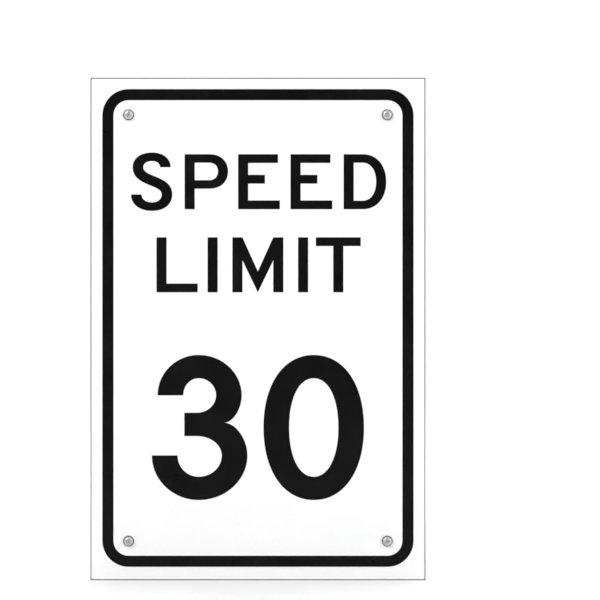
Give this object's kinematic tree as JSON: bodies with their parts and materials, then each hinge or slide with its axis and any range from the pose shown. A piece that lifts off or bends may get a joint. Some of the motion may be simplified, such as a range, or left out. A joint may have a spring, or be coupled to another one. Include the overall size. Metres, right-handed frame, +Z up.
{
  "type": "road sign plate",
  "caption": "Upright rectangular speed limit sign plate: composite panel with a white face film, black border and legend, and a bolt set through each corner.",
  "frame": {"origin": "centre of the four studs, on the plane of the nuts' rear faces, where a rail or post seats", "axes": "+X to the reader's right, +Z up, +Y out of the sign's back along the studs; the face looks along -Y"},
  "size_m": [0.2, 0.0184, 0.3],
  "materials": {
    "skin": "mill finish, satin, with faint rolling lines",
    "core": "black polyethylene, saw cut",
    "white_film": "white sign sheeting, semi-gloss, fine bead texture",
    "black_film": "black cut film, satin",
    "rubber": "black sealing rubber, matt",
    "plated_steel": "bright zinc plated, satin"
  },
  "bodies": {
    "root": {"back_skin": "skin", "front_skin": "skin", "core_sheet": "core", "face_film": "white_film", "border_film": "black_film", "sealing_washers": "rubber", "screws": "plated_steel", "plain_washers": "plated_steel", "lock_washers": "plated_steel", "nuts": "plated_steel", "top_letter_s": "black_film", "top_letter_p": "black_film", "top_letter_e_left": "black_film", "top_letter_e_right": "black_film", "top_letter_d": "black_film", "lower_letter_l": "black_film", "lower_letter_i_left": "black_film", "lower_letter_m": "black_film", "lower_letter_i_right": "black_film", "lower_letter_t": "black_film", "numeral_3": "black_film", "numeral_0": "black_film"}
  },
  "joints": []
}
